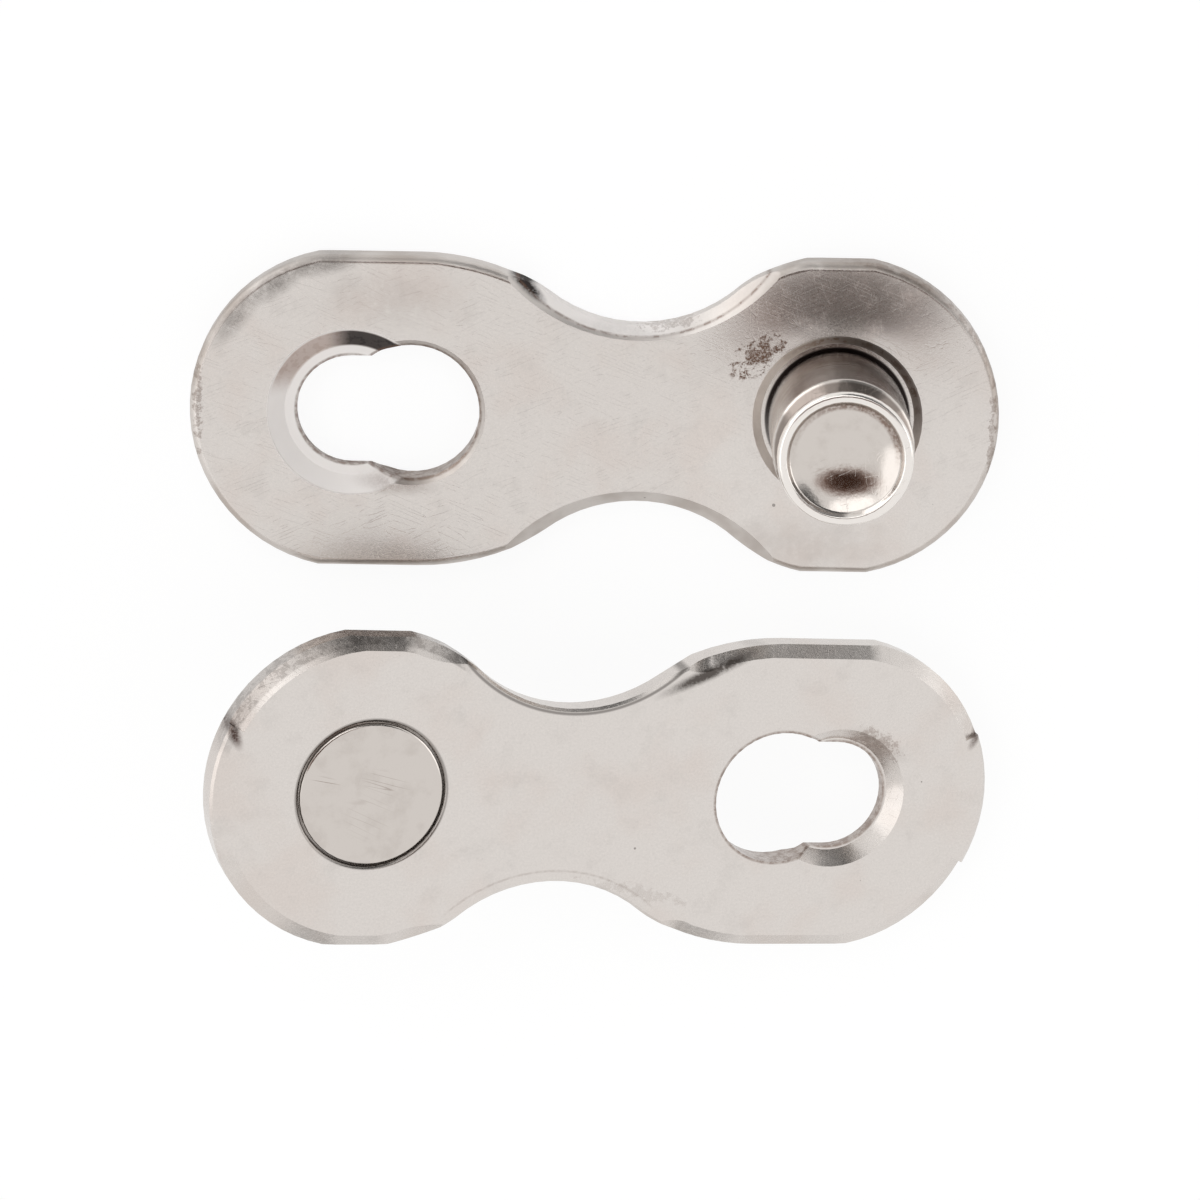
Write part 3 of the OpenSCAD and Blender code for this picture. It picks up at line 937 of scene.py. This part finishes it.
def pin_steel(half, nicks):
    """The pin's finish. Nicks are short dark scratches on its head and its rear disc."""
    material, tree, shader, place = new_finish("nickel_plated_turned_steel", half)
    on_face = add(tree, "SeparateXYZ", place).node.outputs
    noise = {
        name: add(tree, "TexNoise", place, Scale=scale, Detail=layers, Roughness=strength)
        for name, (scale, layers, strength) in PIN_NOISE.items()
    }
    along = on_face["Z"]
    turned = add(
        tree, "TexNoise", along, Scale=TURNED_PER_MM, Detail=TURNED_LAYERS, noise_dimensions="1D"
    )
    barrel = band(tree, along, BARREL_FOOT_MM, BARREL_TOP_MM, PIN_SOFT_MM)
    colour, nicked = bare_turned(tree, place, noise, nicks)
    colour = shaded_barrel_side(tree, place, along, turned, barrel, colour)
    colour = rim_highlight_and_film(tree, place, on_face, noise, colour)
    tree.links.new(colour, shader.inputs["Base Color"])

    roughness = add(tree, "MapRange", noise["grain"], *PIN_ROUGHNESS, **SMOOTH)
    rougher = add(tree, "Math", nicked, NICK_ROUGHNESS, operation="MULTIPLY")
    roughness = add(tree, "Math", roughness, rougher, operation="ADD")
    tree.links.new(roughness, shader.inputs["Roughness"])
    on_barrel = add(tree, "Math", turned, barrel, operation="MULTIPLY")
    tree.links.new(pin_relief(tree, place, noise, on_barrel), shader.inputs["Normal"])
    shader.inputs["Metallic"].default_value = 1.0
    return material


# %% Finish the pins
# nick: its middle, half its size, the angle that it runs at, how strong it is
PIN_NICKS = {
    "upper": [((6.3, -0.35), (0.9, 0.3), 5, 0.4)],
    "lower": [
        ((7.6, 0.25), (0.5, 0.25), 10, 0.7),
        ((6.0, 0.3), (0.8, 0.4), 14, 0.35),
        ((6.4, -0.6), (0.8, 0.8), 24, 0.2),
    ],
}
for half, piece in pins.items():
    piece.data.materials.clear()
    piece.data.materials.append(pin_steel(half, PIN_NICKS[half]))
    print(piece.name, "is of", piece.data.materials[0].name)

# %% [markdown]
# ## The camera
#
# The picture was taken from almost straight above, from the far side of the
# table: the upper pin leans towards the lower edge of the picture, and the
# walls that face the upper edge show. A distance of about 130 mm is what
# makes the pin also lean a little to the right. The camera is turned by less
# than a degree, because both halves run slightly downhill in the picture.

# %% Which way the camera looks
tilt = math.radians(14.5)
roll = math.radians(0.89)
toward_camera = Vector((0, math.sin(tilt), math.cos(tilt)))
picture_up = Vector((0, math.cos(tilt), -math.sin(tilt)))
picture_right = picture_up.cross(toward_camera)
turn = Matrix((picture_right, picture_up, toward_camera)).transposed()
turn = turn @ Matrix.Rotation(roll, 3, "Z")
print("the camera looks along", [round(-v, 3) for v in toward_camera])

# %% Place the camera
picture_px = 1200
view_mm = 31.63
distance_mm = 128.0
sensor_mm = 36.0
aim_mm = Vector((0.225, 0.045, 1.0))
near_m, far_m = 0.01, 10.0

camera_data = bpy.data.cameras.new("camera")
camera_data.sensor_width = sensor_mm
camera_data.lens = camera_data.sensor_width * distance_mm / view_mm
camera_data.clip_start = near_m
camera_data.clip_end = far_m
camera = bpy.data.objects.new("camera", camera_data)
bpy.context.scene.collection.objects.link(camera)
spot = (aim_mm + toward_camera * distance_mm) * MM
camera.matrix_world = Matrix.Translation(spot) @ turn.to_4x4()
bpy.context.scene.camera = camera
print("lens in mm:", round(camera_data.lens, 1))
print("scale in px per mm:", round(picture_px / view_mm, 2))

# %% [markdown]
# ## The table
#
# The halves lie on matt white paper, which shows as pure white to the camera
# and keeps a trace of their shadows. It ends some way off, and there the metal
# mirrors the darker table. More light would whiten it too, but it would also
# bleach the metal, so it glows only to the rays that Light Path names.

# %% Table
TABLE_M = 2.0
PAPER = "F2F2F2"
WHITE = linear("FFFFFF")
GLOW = 1.03
SEEN_GLOW = 0.88
TABLE_MIRRORED, PAPER_MIRRORED = 0.5, 0.85
PAPER_END_MM = (18.0, 40.0)

bpy.ops.object.select_all(action="DESELECT")
bpy.ops.mesh.primitive_plane_add(size=TABLE_M, location=(0, 0, 0))
floor = bpy.context.active_object
floor.name = "floor"
paper = bpy.data.materials.new("white_paper")
paper.use_nodes = True
floor.data.materials.append(paper)
print("table:", paper.name, "that ends", PAPER_END_MM[0], "to", PAPER_END_MM[1], "mm off")

# %% White paper
tree = paper.node_tree
tree.nodes.remove(tree.nodes["Principled BSDF"])
rays = add(tree, "LightPath").node.outputs
spot = add(tree, "TexCoord").node.outputs["Object"]
across = add(tree, "SeparateXYZ", spot).node.outputs["Y"]
paper_end = (-PAPER_END_MM[1] * MM, -PAPER_END_MM[0] * MM)
mirrored = add(tree, "MapRange", across, *paper_end, TABLE_MIRRORED, PAPER_MIRRORED, **SMOOTH)
mirrored = add(tree, "Math", rays["Is Glossy Ray"], mirrored, operation="MULTIPLY")
seen = add(tree, "Math", rays["Is Camera Ray"], SEEN_GLOW, operation="MULTIPLY")
seen = add(tree, "Math", seen, mirrored, operation="MAXIMUM")
matt = add(tree, "BsdfDiffuse", linear(PAPER))
glow = add(tree, "Emission", WHITE, GLOW)
mixed = add(tree, "MixShader", seen, matt, glow)
tree.links.new(mixed, tree.nodes["Material Output"].inputs["Surface"])
print("paper:", PAPER, "in its shadows, and white to the camera")

# %% [markdown]
# ## The light tent
#
# Shiny metal shows its surroundings, so the surroundings matter more than the
# lamps. The picture was taken in a white tent, and the marks on the metal tell
# what was in it. The camera is a dark warm patch that the pin's dish mirrors as
# a smile. A gap in the tent behind it darkens the slanted bands. The end of
# the room darkens the barrel, and lamps on both sides light its flanks.
#
# The tent could be built from planes and area lamps. Here it is a world that is
# 1 everywhere, with boards of other light laid over it, so each board's edge
# can be as soft as it needs. It lights the part from all sides so evenly that
# rays need not be aimed at it, which saves half the render time.

# %% Boards in the tent
# each board: the direction of its middle as seen from the part, round the
# horizon and up from it, and its turn; half its length and width, all in
# degrees; how much of it is its soft edge; 1 for an ellipse and 2 for a board
# with round corners; and its light, where the tent's is 1. A later board hides
# an earlier one.
BOARDS = [
    ("dark end of the room", -88, -2, 0, 15, 14, 0.4, 2, 0.45),
    ("bright wall behind", 134, 8, 0, 26, 13, 0.35, 2, 2.2),
    ("right lamp", 6, 10, 0, 17, 16, 0.4, 2, 1.8),
    ("left lamp", 174, 44, 0, 32, 17, 0.4, 2, 1.6),
    ("light behind the camera", 100, 56, 0, 24, 8, 0.5, 2, 1.8),
    ("gap in the tent", 58, 34, -20, 39, 15, 0.35, 2, 0.1),
    ("shade under the gap", 68, 5, 0, 24, 13, 0.4, 2, 0.25),
    ("camera", 90, 78, 0, 36, 16, 0.8, 1, 0.1),
]
print("boards:", ", ".join(row[0] for row in BOARDS))


# %% One board
def board(tree, way, middle, height, turn, length, width, soft, corners):
    """1 on a board with round corners in the tent, 0 beside it."""
    aim = Vector((1, 0, 0))
    aim.rotate(Euler((0, -math.radians(height), math.radians(middle))))
    level = Vector((0, 0, 1)).cross(aim).normalized()
    slope = Matrix.Rotation(math.radians(turn), 3, aim)
    ahead, side, up = (
        add(tree, "VectorMath", way, axis, operation="DOT_PRODUCT")
        for axis in (aim, slope @ level, slope @ aim.cross(level))
    )
    away = 0.0
    for offset, half in ((side, length), (up, width)):
        offset = add(tree, "Math", offset, ahead, operation="ARCTAN2")
        offset = add(tree, "Math", offset, math.radians(half), operation="DIVIDE")
        offset = add(tree, "Math", offset, offset, operation="MULTIPLY")
        offset = add(tree, "Math", offset, float(corners), operation="POWER")
        away = add(tree, "Math", away, offset, operation="ADD")
    return add(tree, "MapRange", away, 1.0, (1 - soft) ** (2 * corners), **SMOOTH)


# %% World
CAMERA_BROWN = "C08A70"
world = bpy.data.worlds.new("light_tent")
bpy.context.scene.world = world
world.use_nodes = True
world.cycles.sampling_method = "NONE"
tree = world.node_tree
way = add(tree, "TexCoord")
light = 1.0
for name, *place, level in BOARDS:
    share = board(tree, way, *place)
    light = add(tree, "Mix", share, light, level, data_type="FLOAT")
# the camera itself sees a plain white world
seen = add(tree, "LightPath").node.outputs["Is Camera Ray"]
light = add(tree, "Mix", seen, light, 1.0, data_type="FLOAT")
tree.links.new(light, tree.nodes["Background"].inputs["Strength"])
# the last board, the camera, is warm
unseen = add(tree, "Math", 1.0, seen, operation="SUBTRACT")
share = add(tree, "Math", share, unseen, operation="MULTIPLY")
warm = add(tree, "Mix", share, WHITE, linear(CAMERA_BROWN), **COLOURS)
tree.links.new(warm, tree.nodes["Background"].inputs["Color"])
print("world:", world.name, "with", len(BOARDS), "boards")

# %% [markdown]
# ## Colours as they are written
#
# Blender's usual view bends bright colours, as film does. Standard shows each
# colour as it is written, so the paper's white stays white.

# %% Colour settings
bpy.context.scene.view_settings.view_transform = "Standard"
print("colours:", bpy.context.scene.view_settings.view_transform)
